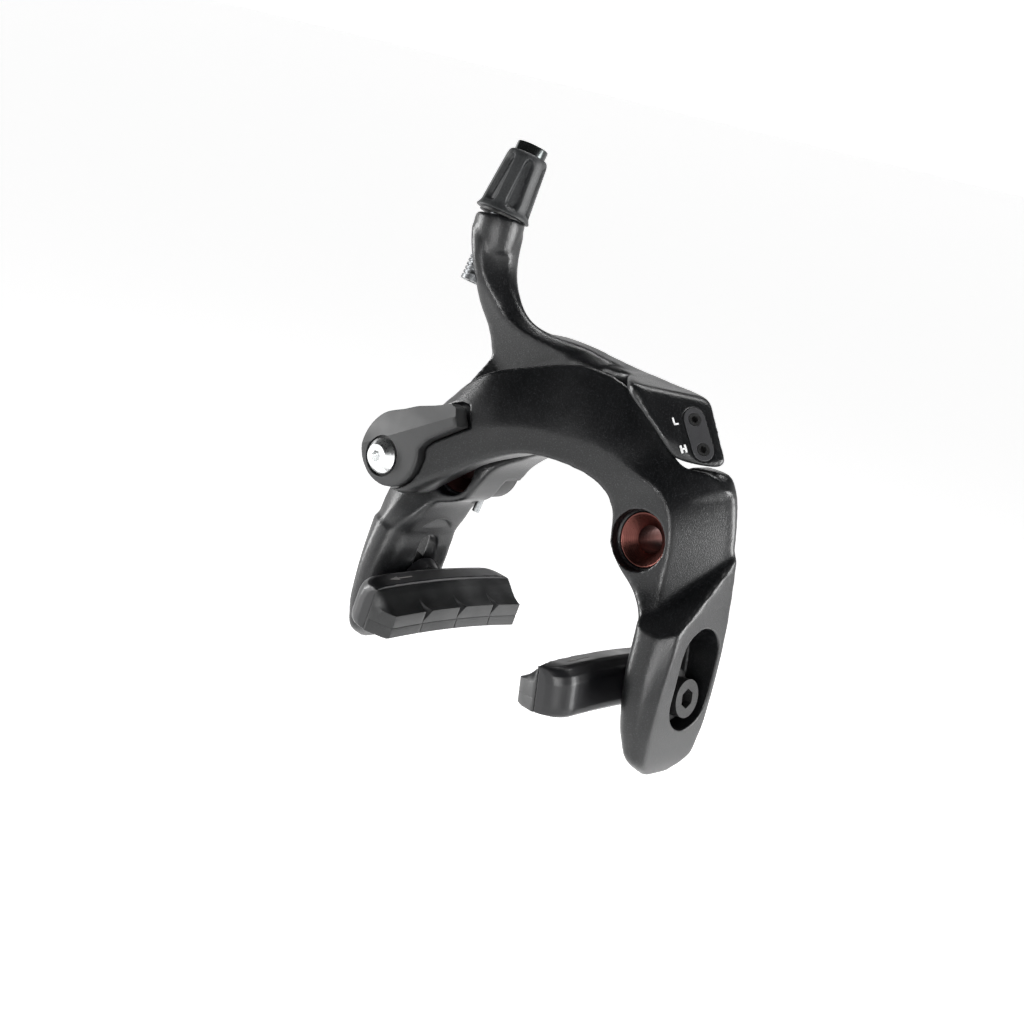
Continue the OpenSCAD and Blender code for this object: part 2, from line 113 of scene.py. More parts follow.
def skin(name, rings):
    """One closed body through rings that all have the same number of points."""
    n = len(rings[0])
    points = [p for ring in rings for p in ring]
    faces = [
        (i * n + j, i * n + (j + 1) % n, (i + 1) * n + (j + 1) % n, (i + 1) * n + j)
        for i in range(len(rings) - 1)
        for j in range(n)
    ]
    faces.append(tuple(range(n))[::-1])
    faces.append(tuple(range(len(points) - n, len(points))))
    return new_object(name, points, faces)


def prism(name, outline, start, end, place):
    """An outline of (u, v) points carried from start to end; place turns (u, v, w) into a point."""
    return skin(name, [[place(u, v, w) for u, v in outline] for w in (start, end)])


def slab_x(name, outline, x0, x1):
    """A slab with an outline of (y, z) points."""
    return prism(name, outline, x0, x1, lambda u, v, w: (w, u, v))


def slab_y(name, outline, y0, y1):
    """A slab with an outline of (x, z) points."""
    return prism(name, outline, y0, y1, lambda u, v, w: (u, w, v))


def slab_z(name, outline, z0, z1):
    """A slab with an outline of (x, y) points."""
    return prism(name, outline, z0, z1, lambda u, v, w: (u, v, w))


def rod(name, start, end, radius):
    """A round rod from start to end."""
    start, end = Vector(start), Vector(end)
    turn = (end - start).to_track_quat("Z", "Y")
    rim = [turn @ (Vector((math.cos(a), math.sin(a), 0)) * radius) for a in around(72)]
    return skin(name, [[centre + p for p in rim] for centre in (start, end)])


def around(count):
    """Evenly spaced angles of a full turn."""
    return [2 * math.pi * i / count for i in range(count)]


def box(u0, v0, u1, v1):
    """Outline of an upright rectangle."""
    return [(u0, v0), (u1, v0), (u1, v1), (u0, v1)]


def arc(cx, cy, rx, ry, start, end, steps):
    """Points on an elliptical arc; the angles are in degrees."""
    turns = [math.radians(start + (end - start) * i / steps) for i in range(steps + 1)]
    return [(cx + rx * math.cos(t), cy + ry * math.sin(t)) for t in turns]


def stadium(r, half):
    """Outline of a rounded slot along v, with end centres at -half and +half."""
    return arc(0, half, r, r, 0, 180, 24) + arc(0, -half, r, r, 180, 360, 24)


def smooth_rows(rows, pace, length_of):
    """More rows on a smooth curve through the given ones; pace is the distance between them."""
    gaps = [max(length_of(a, b), 0.1) for a, b in zip(rows, rows[1:])]
    slopes = []
    for i, row in enumerate(rows):
        back = i - 1 if i else 0
        ahead = i if i < len(gaps) else i - 1
        h0, h1 = gaps[back], gaps[ahead]
        d0 = [(q - p) / h0 for p, q in zip(rows[back], rows[back + 1])]
        d1 = [(q - p) / h1 for p, q in zip(rows[ahead], rows[ahead + 1])]
        slopes.append([(h1 * u + h0 * v) / (h0 + h1) for u, v in zip(d0, d1)])
    out = []
    for i, h in enumerate(gaps):
        steps = max(1, round(h / pace))
        for k in range(steps):
            t = k / steps
            a, b = 2 * t**3 - 3 * t**2 + 1, t**3 - 2 * t**2 + t
            c, d = 3 * t**2 - 2 * t**3, t**3 - t**2
            values = zip(rows[i], slopes[i], rows[i + 1], slopes[i + 1])
            out.append([a * p + b * h * m + c * q + d * h * n for p, m, q, n in values])
    return out + [list(rows[-1])]


def section(ax, az, bx, bz, front, share, outer, back, nose, corner, belly):
    """Cross-section of an arm: a flat front band from the inner edge, then a face that falls back."""
    a, b = Vector((ax, az)), Vector((bx, bz))
    width = (b - a).length
    e = (b - a) / width
    ridge = share * width
    path = arc(0.7 * nose, front + nose, 0.7 * nose, nose, 180, 270, 6)
    for k in range(1, 12):
        t = k / 12
        fall = (1 - belly) * t + belly * t * t
        path.append((ridge + t * (width - ridge - 0.3 * corner), front + (outer - front) * fall))
    path += arc(width - corner * 0.6, outer + corner * 0.3, corner * 0.6, corner * 0.6, -60, 0, 3)
    path += arc(width - corner, back - corner, corner, corner, 0, 90, 5)
    path += arc(corner, back - corner, corner, corner, 90, 180, 5)
    return [(a[0] + e[0] * s, y, a[1] + e[1] * s) for s, y in path]


def row_gap(a, b):
    """Distance between the middles of two section rows."""
    return math.hypot((a[0] + a[2] - b[0] - b[2]) / 2, (a[1] + a[3] - b[1] - b[3]) / 2)


def loft(name, rows):
    """An arm's body through section rows."""
    return skin(name, [section(*r) for r in smooth_rows(rows, 1.0, row_gap)])


def tube(name, rows):
    """A swept rod through (x, y, z, radius) rows."""
    rows = smooth_rows(rows, 1.0, lambda a, b: math.dist(a[:3], b[:3]))
    rings = []
    for i, row in enumerate(rows):
        ahead = Vector(rows[min(i + 1, len(rows) - 1)][:3])
        behind = Vector(rows[max(i - 1, 0)][:3])
        along = (ahead - behind).normalized()
        side = along.cross(Vector((0, 1, 0))).normalized()
        other = along.cross(side)
        centre = Vector(row[:3])
        rings.append([centre + (side * math.cos(t) + other * math.sin(t)) * row[3] for t in around(40)])
    return skin(name, rings)


def join(objects):
    """Puts the meshes of several objects into the first."""
    bm = bmesh.new()
    for obj in objects:
        bm.from_mesh(obj.data)
    bm.to_mesh(objects[0].data)
    bm.free()
    for obj in objects[1:]:
        bpy.data.objects.remove(obj)
    return objects[0]


def apply_modifiers(obj):
    """Makes the result of the modifiers the object's own mesh."""
    graph = bpy.context.evaluated_depsgraph_get()
    mesh = bpy.data.meshes.new_from_object(obj.evaluated_get(graph))
    obj.modifiers.clear()
    obj.data = mesh
    return obj


def remesh(obj, voxel, rounds):
    """One even skin over all shells of obj, its edges rounded by the given rounds of smoothing."""
    mod = obj.modifiers.new("remesh", "REMESH")
    mod.mode = "VOXEL"
    mod.voxel_size = voxel
    mod.adaptivity = 0
    mod.use_smooth_shade = True
    smooth = obj.modifiers.new("smooth", "SMOOTH")
    smooth.factor = 0.5
    smooth.iterations = rounds
    return apply_modifiers(obj)


def carve(obj, cutters):
    """Cuts all cutters out of obj."""
    for cutter in cutters:
        mod = obj.modifiers.new("cut", "BOOLEAN")
        mod.operation = "DIFFERENCE"
        mod.solver = "MANIFOLD"
        mod.object = cutter
    bpy.context.view_layer.update()
    apply_modifiers(obj)
    for cutter in cutters:
        bpy.data.objects.remove(cutter)
    return obj


def forge(shells, cutters, voxel, blend, rounds):
    """Melts shells into one body, cuts it, and rounds the edges by the given rounds of smoothing."""
    obj = join(shells)
    if blend:
        remesh(obj, 2 * voxel, blend)
    if cutters:
        carve(obj, cutters)
    return remesh(obj, voxel, rounds)


def settle(obj, name, nodes, material, body=None):
    """Scales a finished piece to metres, and makes it stand for its CAD nodes."""
    obj.name = name
    obj.data.name = name
    obj.data.transform(Matrix.Scale(MM, 4))
    obj.data.materials.clear()
    obj.data.materials.append(material)
    for polygon in obj.data.polygons:
        polygon.use_smooth = True
    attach(obj, body or BODY_OF[nodes[0]])
    if nodes:
        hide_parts(*nodes)
    return obj


# ---------- places ----------


def leg(side):
    """Turns upright right-hand leg coordinates into the open leg on that side (+1 right, -1 left)."""
    turn = Matrix.Translation((POST_X, 0, 0)) @ Matrix.Rotation(-OPEN_ANGLE, 4, "Y")
    turn = turn @ Matrix.Translation((-POST_X, 0, 0))
    return Matrix.Scale(side, 4, (1, 0, 0)) @ turn


def placed(obj, matrix):
    """Moves a mesh by a matrix, and keeps its faces outward where the matrix mirrors it."""
    obj.data.transform(matrix)
    if matrix.determinant() < 0:
        obj.data.flip_normals()
    return obj


def side_word(side):
    return "right" if side > 0 else "left"


# Frames of two features: z runs up the barrel, and z leaves the face that holds the tension screws.
BARREL = Matrix.Translation((-38.1, -8.8, 59.5)) @ Matrix.Rotation(math.radians(-15.86), 4, "X")
BARREL = BARREL @ Matrix.Rotation(math.radians(2), 4, "Y")
TENSION_FACE = Matrix.Translation((31.2, -8.5, 25.8)) @ Matrix.Rotation(math.radians(54), 4, "Y")
TENSION_FACE = TENSION_FACE @ Matrix.Rotation(math.radians(28), 4, "X")


# ---------- materials ----------


def shader(name, colour, roughness, metallic=0.0):
    """A new material and its Principled node."""
    mat = bpy.data.materials.new(name)
    mat.use_nodes = True
    principled = mat.node_tree.nodes["Principled BSDF"]
    principled.inputs["Base Color"].default_value = (*colour, 1)
    principled.inputs["Roughness"].default_value = roughness
    principled.inputs["Metallic"].default_value = metallic
    return mat, principled


def add_node(mat, kind, **values):
    """A new node; each value goes to the input or the setting of that name."""
    node = mat.node_tree.nodes.new(kind)
    for key, value in values.items():
        if key in node.inputs:
            node.inputs[key].default_value = value
        else:
            setattr(node, key, value)
    return node


def noise(mat, size_mm, detail):
    """Noise in object space whose features are about size_mm across."""
    tree = mat.node_tree
    place = add_node(mat, "ShaderNodeTexCoord")
    texture = add_node(mat, "ShaderNodeTexNoise", Scale=1 / (size_mm * MM), Detail=detail)
    tree.links.new(place.outputs["Object"], texture.inputs["Vector"])
    return texture.outputs["Fac"]


def ramp(mat, value, low, high, dark, light):
    """Maps a value between low and high to a value between dark and light."""
    node = add_node(mat, "ShaderNodeMapRange")
    for key, number in (("From Min", low), ("From Max", high), ("To Min", dark), ("To Max", light)):
        node.inputs[key].default_value = number
    mat.node_tree.links.new(value, node.inputs["Value"])
    return node.outputs["Result"]


def vary_colour(mat, principled, factor, dark, light):
    """Base colour between dark and light, as the factor says."""
    mix = add_node(mat, "ShaderNodeMix", data_type="RGBA")
    for socket in mix.inputs:
        if socket.type == "RGBA" and socket.name == "A":
            socket.default_value = (*dark, 1)
        if socket.type == "RGBA" and socket.name == "B":
            socket.default_value = (*light, 1)
    mat.node_tree.links.new(factor, mix.inputs[0])
    colour = [s for s in mix.outputs if s.type == "RGBA"][0]
    mat.node_tree.links.new(colour, principled.inputs["Base Color"])


def bump(mat, principled, heights):
    """Stacks bump maps; heights is a list of (value socket, height in mm)."""
    normal = None
    for value, height in heights:
        node = add_node(mat, "ShaderNodeBump", Strength=1.0, Distance=height * MM)
        mat.node_tree.links.new(value, node.inputs["Height"])
        if normal is not None:
            mat.node_tree.links.new(normal, node.inputs["Normal"])
        normal = node.outputs["Normal"]
    mat.node_tree.links.new(normal, principled.inputs["Normal"])


def grained(name, dark, light, roughness, grain_mm, height_mm, metallic=0.0, spread=0.06):
    """A coating or moulding with a fine grain in its colour, gloss and surface."""
    mat, principled = shader(name, light, roughness, metallic)
    fine = noise(mat, grain_mm, 3)
    broad = noise(mat, 9, 2)
    vary_colour(mat, principled, ramp(mat, fine, 0.35, 0.75, 0, 1), dark, light)
    gloss = ramp(mat, broad, 0.3, 0.7, roughness - spread, roughness + spread)
    mat.node_tree.links.new(gloss, principled.inputs["Roughness"])
    bump(mat, principled, [(fine, height_mm)])
    return mat


def sparkle_coat():
    """Satin black paint with a fine metallic fleck."""
    mat, principled = shader("arm_coat", (0.006, 0.006, 0.007), 0.4)
    fine = noise(mat, 0.16, 3)
    flecks = noise(mat, 0.26, 1)
    broad = noise(mat, 12, 2)
    principled.inputs["Specular IOR Level"].default_value = 0.5
    speck = ramp(mat, flecks, 0.55, 0.75, 0, 1)
    vary_colour(mat, principled, speck, (0.0022, 0.0024, 0.0028), (0.022, 0.023, 0.025))
    gloss = ramp(mat, broad, 0.3, 0.7, 0.29, 0.34)
    mat.node_tree.links.new(gloss, principled.inputs["Roughness"])
    bump(mat, principled, [(fine, 0.014), (flecks, 0.045)])
    return mat


def turned(name, colour, roughness, rings_per_mm, height_mm, axis_x, axis_z):
    """Lathe-turned metal, with faint rings about an axis along Y through (axis_x, axis_z)."""
    mat, principled = shader(name, colour, roughness, 1.0)
    tree = mat.node_tree
    place = add_node(mat, "ShaderNodeTexCoord")
    shift = add_node(mat, "ShaderNodeMapping")
    shift.inputs["Location"].default_value = (-axis_x * MM, 0, -axis_z * MM)
    shift.inputs["Scale"].default_value = (1, 0.35, 1)
    tree.links.new(place.outputs["Object"], shift.inputs["Vector"])
    length = add_node(mat, "ShaderNodeVectorMath", operation="LENGTH")
    tree.links.new(shift.outputs["Vector"], length.inputs[0])
    scale = add_node(mat, "ShaderNodeMath", operation="MULTIPLY")
    scale.inputs[1].default_value = rings_per_mm / MM * 2 * math.pi
    tree.links.new(length.outputs["Value"], scale.inputs[0])
    wave = add_node(mat, "ShaderNodeMath", operation="SINE")
    tree.links.new(scale.outputs["Value"], wave.inputs[0])
    fine = noise(mat, 0.5, 3)
    gloss = ramp(mat, fine, 0.3, 0.7, roughness * 0.8, roughness * 1.25)
    tree.links.new(gloss, principled.inputs["Roughness"])
    bump(mat, principled, [(wave.outputs["Value"], height_mm)])
    return mat


COAT = sparkle_coat()
LEVER_COAT = grained("lever_coat", (0.010, 0.0103, 0.0106), (0.015, 0.0155, 0.016), 0.56, 0.12, 0.004)
HOLDER_COAT = grained("holder_coat", (0.003, 0.003, 0.004), (0.006, 0.006, 0.007), 0.36, 0.18, 0.006)
RUBBER = grained("pad_rubber", (0.006, 0.0063, 0.0066), (0.011, 0.0115, 0.012), 0.4, 0.3, 0.008, spread=0.1)
KNOB_RUBBER = grained("knob_rubber", (0.012, 0.013, 0.014), (0.026, 0.028, 0.029), 0.5, 0.35, 0.014)
NYLON = grained("nylon", (0.010, 0.010, 0.010), (0.018, 0.018, 0.018), 0.5, 0.3, 0.004)
BLACK_STEEL = grained("black_oxide", (0.02, 0.02, 0.02), (0.05, 0.05, 0.05), 0.36, 0.25, 0.004, 0.6)
INSERT = grained("insert_coat", (0.024, 0.024, 0.026), (0.034, 0.034, 0.036), 0.42, 0.2, 0.003)
ZINC = grained("zinc_plate", (0.30, 0.31, 0.32), (0.42, 0.43, 0.43), 0.34, 0.6, 0.002, 1.0)
DULL_STEEL = grained("dull_steel", (0.12, 0.125, 0.13), (0.2, 0.205, 0.21), 0.42, 0.5, 0.002, 1.0)
BLACK_CHROME = grained(
    "black_chrome", (0.05, 0.055, 0.055), (0.07, 0.075, 0.075), 0.14, 1.5, 0.0008, 0.9, spread=0.04
)
WHITE_PAINT = grained("white_mark", (0.62, 0.62, 0.62), (0.75, 0.75, 0.75), 0.5, 0.2, 0.002)
GREY_PAINT = grained("grey_mark", (0.22, 0.21, 0.20), (0.32, 0.31, 0.30), 0.5, 0.2, 0.002)
BRONZE_RIGHT = turned("bushing_right_anodised", (0.12, 0.045, 0.038), 0.34, 3.2, 0.004, POST_X, 0)
# The left bushing is a darker copy of the same anodised brown: painted shade for the shadow it sits in
# under the arch.
BRONZE_LEFT_PAINTED_SHADE = turned("bushing_left_anodised_painted_shade", (0.06, 0.025, 0.022), 0.4, 3.2, 0.004, -POST_X, 0)
POLISHED = turned("anchor_polished", (0.86, 0.87, 0.87), 0.3, 0.6, 0.00005, *ANCHOR)


# ---------- arms ----------

# Rows: inner x, inner z, outer x, outer z, front y, flat share, outer-edge y, back y, inner nose,
# corner, and how far the falling face bulges (0 flat, 1 round).
LEG_ROWS = [
    (44.2, -50.4, 45.6, -50.3, -17.0, 0.7, -16.0, -9.0, 0.8, 0.5, 0.4),
    (42.3, -47.6, 46.6, -47.6, -22.0, 0.7, -20.4, -3.4, 2.4, 1.0, 0.5),
    (40.0, -42.4, 47.3, -42.0, -24.8, 0.7, -22.6, -1.0, 4.0, 1.2, 0.6),
    (38.0, -35.0, 47.6, -33.6, -25.8, 0.66, -23.0, -0.5, 5.0, 1.2, 0.6),
    (36.4, -27.0, 47.6, -25.4, -25.4, 0.62, -22.4, -0.5, 5.4, 1.2, 0.6),
    (35.6, -20.0, 47.3, -17.4, -24.0, 0.56, -21.4, -0.5, 5.0, 1.2, 0.6),
    (35.0, -14.7, 46.6, -10.4, -22.6, 0.5, -20.4, -0.5, 4.0, 1.2, 0.6),
    (34.6, -9.0, 45.6, -3.0, -21.2, 0.5, -19.4, -0.5, 4.0, 1.2, 0.6),
    (34.0, -4.0, 44.4, 4.0, -20.0, 0.5, -18.4, -0.5, 4.0, 1.2, 0.6),
]
SHOULDER_ROWS = [
    (38.4, -34.0, 46.0, -33.0, -20.0, 0.5, -8.0, -1.0, 3.0, 1.0, 0.1),
    (37.0, -27.0, 46.4, -25.6, -21.6, 0.45, -5.0, -0.5, 4.0, 1.0, 0.1),
    (35.4, -20.0, 46.6, -17.4, -21.6, 0.38, -3.4, -0.5, 4.0, 1.0, 0.1),
    (33.6, -14.7, 46.2, -10.4, -20.4, 0.34, -2.8, -0.5, 2.8, 1.0, 0.05),
    (30.3, -11.0, 45.0, -4.0, -19.0, 0.42, -2.6, -0.5, 1.6, 1.0, 0.05),
    (25.0, -7.4, 43.8, 2.3, -18.2, 0.58, -2.6, -0.5, 1.0, 1.0, 0.05),
    (21.0, -3.2, 42.4, 8.8, -18.0, 0.64, -2.8, -0.5, 0.8, 0.8, 0.05),
    (20.2, 1.0, 40.4, 14.8, -18.0, 0.6, -3.4, -0.5, 0.8, 0.8, 0.05),
    (19.6, 4.0, 37.8, 18.0, -18.1, 0.56, -4.2, -0.5, 0.8, 0.8, 0.05),
    (17.8, 7.0, 31.4, 18.3, -18.6, 0.56, -8.0, -0.5, 0.8, 0.8, 0.1),
]
ARCH_ROWS = [
    (20.2, 1.0, 40.4, 14.8, -17.9, 0.58, -5.0, -3.0, 0.8, 0.8, 0.05),
    (19.6, 4.0, 37.2, 17.8, -18.1, 0.56, -7.0, -5.0, 0.8, 0.8, 0.05),
    (17.6, 7.1, 31.4, 18.6, -18.6, 0.55, -11.6, -11.0, 0.8, 0.5, 0.2),
    (15.6, 8.6, 27.0, 21.2, -19.0, 0.46, -12.4, -11.0, 0.8, 0.6, 0.4),
    (12.0, 10.0, 21.8, 26.4, -19.5, 0.35, -12.5, -11.0, 0.6, 0.6, 0.5),
    (8.8, 10.6, 15.2, 30.2, -20.0, 0.27, -12.2, -11.0, 0.6, 0.6, 0.5),
    (4.8, 10.9, 8.0, 32.4, -20.7, 0.22, -12.2, -11.0, 0.6, 0.6, 0.5),
    (0.9, 10.9, 1.0, 33.0, -21.4, 0.2, -12.2, -11.0, 0.6, 0.6, 0.5),
    (-5.0, 10.2, -5.5, 31.9, -22.7, 0.22, -12.4, -11.0, 0.6, 0.6, 0.5),
    (-10.7, 7.7, -12.4, 29.6, -24.2, 0.27, -15.0, -13.0, 0.8, 0.8, 0.5),
    (-15.8, 4.4, -18.5, 26.8, -25.7, 0.32, -20.6, -18.8, 1.0, 1.0, 0.5),
    (-20.9, 0.2, -24.5, 22.8, -27.2, 0.42, -22.0, -20.4, 1.6, 0.8, 0.5),
    (-26.4, -4.2, -30.0, 16.5, -28.4, 0.5, -22.5, -20.4, 2.6, 0.8, 0.5),
    (-31.4, -7.9, -34.5, 11.5, -29.3, 0.6, -23.0, -20.4, 3.0, 0.8, 0.5),
    (-36.6, -8.6, -39.4, 10.4, -29.6, 0.7, -25.0, -20.4, 2.4, 0.8, 0.5),
    (-42.0, -6.6, -44.6, 7.6, -28.0, 0.6, -24.0, -20.4, 0.8, 0.8, 0.5),
    (-46.0, -2.6, -46.8, 3.4, -26.0, 0.5, -24.0, -20.4, 0.8, 0.8, 0.5),
]
LEFT_SHOULDER_ROWS = [
    (-36.4, -26.0, -46.2, -25.0, -25.0, 0.6, -21.6, -0.5, 5.0, 1.2, 0.6),
    (-35.6, -20.0, -45.9, -17.4, -23.6, 0.56, -20.0, -0.5, 4.4, 1.2, 0.5),
    (-33.3, -15.4, -45.7, -12.0, -22.0, 0.5, -18.8, -0.5, 2.6, 1.2, 0.5),
    (-32.0, -12.4, -45.0, -8.2, -20.4, 0.5, -17.6, -0.5, 1.4, 1.2, 0.5),
    (-30.0, -10.0, -40.4, -6.6, -19.0, 0.6, -17.0, -0.5, 1.0, 1.0, 0.5),
    (-26.0, -8.6, -36.4, -3.0, -18.5, 0.6, -17.0, -2.0, 0.6, 0.6, 0.5),
    (-22.0, -6.6, -35.0, 4.0, -18.5, 0.6, -17.0, -2.5, 0.6, 0.6, 0.5),
    (-19.2, -2.4, -34.0, 12.0, -18.5, 0.6, -16.5, -2.0, 0.6, 0.6, 0.5),
    (-16.8, 2.6, -32.2, 20.0, -16.5, 0.5, -14.0, -1.0, 0.6, 0.6, 0.5),
    (-13.2, 6.3, -29.0, 29.0, -10.3, 0.5, -10.0, -0.5, 0.6, 0.6, 0.5),
]
BRIDGE_ROWS = [
    (-13.2, 6.3, -30.4, 27.0, -10.2, 0.5, -10.0, -0.5, 0.6, 0.6, 0.5),
    (-8.5, 9.0, -23.0, 34.6, -10.2, 0.6, -9.0, -0.5, 0.6, 0.6, 0.5),
    (-3.0, 11.4, -10.0, 36.0, -10.2, 0.82, -7.0, -0.5, 0.6, 0.6, 0.3),
    (3.0, 13.0, 0.0, 35.0, -10.2, 0.88, -7.0, -0.5, 0.6, 0.6, 0.3),
    (9.0, 14.8, 9.0, 34.2, -10.2, 0.88, -7.2, -0.5, 0.6, 0.6, 0.3),
    (13.0, 17.2, 15.0, 33.7, -10.2, 0.88, -7.5, -0.5, 0.6, 0.6, 0.3),
    (16.0, 19.3, 21.0, 33.0, -10.2, 0.8, -8.0, -0.5, 0.6, 0.6, 0.3),
    (24.0, 20.2, 25.0, 32.2, -9.0, 0.8, -8.0, -0.8, 0.6, 0.6, 0.3),
    (29.0, 21.0, 29.0, 29.0, -8.0, 0.8, -7.5, -2.0, 0.6, 0.6, 0.3),
]
# The web that rises out of the bridge and narrows into the collar.
WEB_ROWS = [
    (-25.0, 14.0, -3.0, 30.0, -10.1, 0.84, -8.0, -1.0, 0.6, 0.8, 0.3),
    (-29.4, 22.0, -6.0, 35.0, -10.2, 0.84, -8.0, -1.0, 0.8, 0.8, 0.3),
    (-30.6, 28.6, -12.6, 35.8, -10.9, 0.78, -8.0, -3.0, 0.8, 1.0, 0.2),
    (-32.6, 34.0, -19.4, 36.7, -11.9, 0.66, -8.6, -6.2, 1.0, 1.2, 0.2),
    (-35.4, 38.6, -24.4, 38.9, -13.2, 0.56, -9.2, -6.6, 1.2, 1.2, 0.2),
    (-36.8, 43.2, -28.3, 43.0, -15.2, 0.5, -10.0, -6.4, 2.0, 1.2, 0.25),
    (-39.0, 48.4, -31.0, 48.0, -16.2, 0.44, -10.0, -5.6, 2.8, 1.6, 0.4),
    (-41.3, 53.0, -32.0, 52.6, -16.0, 0.42, -10.0, -4.6, 3.4, 2.4, 0.7),
    (-43.2, 56.5, -32.4, 56.2, -15.0, 0.42, -9.4, -3.4, 3.8, 3.4, 0.95),
]
# Rows: x, y, z, radius.
COLLAR_ROWS = [
    (-38.1, -8.8, 59.5, 6.15),
    (-37.8, -9.3, 56.5, 6.1),
    (-37.2, -9.8, 53.5, 5.6),
    (-36.3, -10.4, 50.5, 4.6),
]


def pivot_bore(x):
    """Flared mouth, collar seat and bore of a pivot."""
    return [
        rod("mouth", (x, FAR_FRONT, 0), (x, RIM_Y, 0), MOUTH_RADIUS),
        rod("seat", (x, RIM_Y - 0.5, 0), (x, RIM_Y + 3.25, 0), SEAT_RADIUS),
        rod("bore", (x, RIM_Y + 3, 0), (x, 3, 0), BUSHING_RADIUS),
    ]


def pad_slot(side):
    """Slot for the pad bolt, with a wide recess outside and a flat land inside."""
    middle = SLOT_TRAVEL / 2 - PAD_DROP
    cuts = []
    for r, x0, x1 in ((RECESS_RADIUS, 36, 62), (SLOT_RADIUS, 18, 62)):
        outline = [(u + SLOT_Y, v + middle) for u, v in stadium(r, SLOT_TRAVEL / 2)]
        cuts.append(slab_x("slot", outline, x0, x1))
    land = [(u + SLOT_Y, v + middle) for u, v in stadium(LAND_RADIUS, SLOT_TRAVEL / 2 + 1)]
    cuts.append(slab_x("land", land, 22, 32.2))
    return [placed(c, leg(side)) for c in cuts]


def spring_room(x, radius):
    """Room behind a pivot for the coil of the spring, and below it for the spring's leg."""
    side = math.copysign(1, x)
    inner = x - 2.6 * side
    outline = [(inner, -4), (inner, -14), (x + 3.4 * side, -14), (x + 1.6 * side, -4)]
    return [rod("spring_room", (x, -8.5, 0), (x, 5, 0), radius), slab_y("leg_room", outline, -4.2, 5)]


def lever_outline(grow):
    """Lever cap seen from the front: a round end, a waist, and a tip at the right."""
    round_end = arc(*HUB, 9.2 + grow, 9.2 + grow, 112, 376, 44)
    upper = [(-19.6 + grow, 12.2), (-22 + grow, 16.3 + grow), (-24 + grow, 16.6 + grow)]
    upper += [(-28.5, 14.9 + grow), (-34, 13.2 + grow), (-38, 11.3 + grow)]
    lower = [(-27.5, 6.6 - grow)]
    return round_end + lower + upper


def sync_path(t):
    """Place of the sync roller on the rear arm once the arms have closed by t degrees."""
    one, two = math.radians(t), math.radians(2 * t)
    x = 2 * POST_X * math.cos(one) - POST_X * math.cos(two) + SYNC[1] * math.sin(two) - POST_X
    z = -2 * POST_X * math.sin(one) + POST_X * math.sin(two) + SYNC[1] * math.cos(two)
    return Vector((x, z))


def sync_slot(r):
    """Outline of the curved slot that the sync roller runs in."""
    steps = [-0.6 + 0.6 * i for i in range(22)]
    left, right = [], []
    for t in steps:
        along = (sync_path(t + 0.1) - sync_path(t - 0.1)).normalized()
        side = Vector((-along[1], along[0]))
        left.append(sync_path(t) + side * r)
        right.append(sync_path(t) - side * r)

    def cap(centre, start):
        first = math.degrees(math.atan2(start[1] - centre[1], start[0] - centre[0]))
        return arc(centre[0], centre[1], r, r, first, first - 180, 12)[1:-1]

    far = cap(sync_path(steps[-1]), left[-1])
    near = cap(sync_path(steps[0]), right[0])
    return left + far + right[::-1] + near


def mirrored(rows):
    """The same section rows for the other leg."""
    return [(-r[0], r[1], SLIMMER - r[2], *r[3:]) for r in rows]


def right_leg():
    """Leg with its raised slot land, cut off along a slope that leaves a V on the outer side."""
    slope = [(-27.0, -20.2), (-20.7, -14.8), (-7.8, -4.4), (5.0, 6.0)]
    beyond = [(5.0, 40.0), (-40.0, 40.0), (-40.0, -31.0)]
    return carve(loft("leg", LEG_ROWS), [slab_x("above", slope + beyond, 20, 60)])


def front_arm():
    """Arm with the arch, the right-hand leg and the seat of the lever."""
    shells = [right_leg(), loft("shoulder", SHOULDER_ROWS), loft("arch", ARCH_ROWS)]
    cutters = pivot_bore(POST_X) + pad_slot(1) + spring_room(POST_X, RIGHT_SPRING_RADIUS)
    cutters.append(slab_y("lever_room", lever_outline(0.5), FAR_FRONT, -24))
    x, z = HUB
    cutters.append(rod("hub_bore", (x, FAR_FRONT, z), (x, -15, z), HUB_RADIUS))
    x, z = SYNC
    cutters.append(rod("pin_bore", (x, -16, z), (x, -5, z), PIN_RADIUS))
    arm = forge(shells, cutters, voxel=0.3, blend=6, rounds=3)
    settle(arm, "front_arm_body", ["front_arm"], COAT)


def tension_block():
    """End of the rear arm beyond the bridge: it swells forward beside the arch."""
    outline = [(2, 34.2), (2, 22), (19.5, 19.6), (30, 19.2)]
    outline += [(36.0, 19.3), (37.4, 20.2), (37.8, 22), (31.2, 31.0), (29.6, 32.6), (27.2, 33.5)]
    outline += [(20, 33.7), (11, 34.3)]
    swell = [(2, -0.5), (2, -9.8), (6, -10.2), (10, -11.8), (13.4, -16.0), (16.5, -19.0)]
    swell += [(19, -19.6), (22.5, -18.8), (26, -17.4), (28.4, -15.6), (30.6, -12.6), (34, -10.8)]
    swell += [(39, -8.6), (39, -4.4), (37.6, -3.4), (30, -3.0), (24, -0.5)]
    block = slab_y("block", outline, -24, -0.4)
    plan = slab_z("plan", swell, 0, 60)
    overlap = block.modifiers.new("plan", "BOOLEAN")
    overlap.operation = "INTERSECT"
    overlap.solver = "MANIFOLD"
    overlap.object = plan
    apply_modifiers(block)
    bpy.data.objects.remove(plan)
    beyond = placed(slab_z("beyond", box(-15, -20, 15, 20), 0, 12), TENSION_FACE)
    circle = [(ARCH_RADIUS * math.cos(t), ARCH_RADIUS * math.sin(t)) for t in around(180)]
    room = slab_y("room", circle, FAR_FRONT, -10.3)
    return remesh(carve(block, [beyond, room]), 0.4, 44)


def mark(name, strokes, place, body, material):
    """Flat painted strokes; place turns (u, v, height) into a point."""
    obj = join([prism("stroke", outline, -0.25, 0.06, place) for outline in strokes])
    settle(obj, name, [], material, body)
    for polygon in obj.data.polygons:
        polygon.use_smooth = False


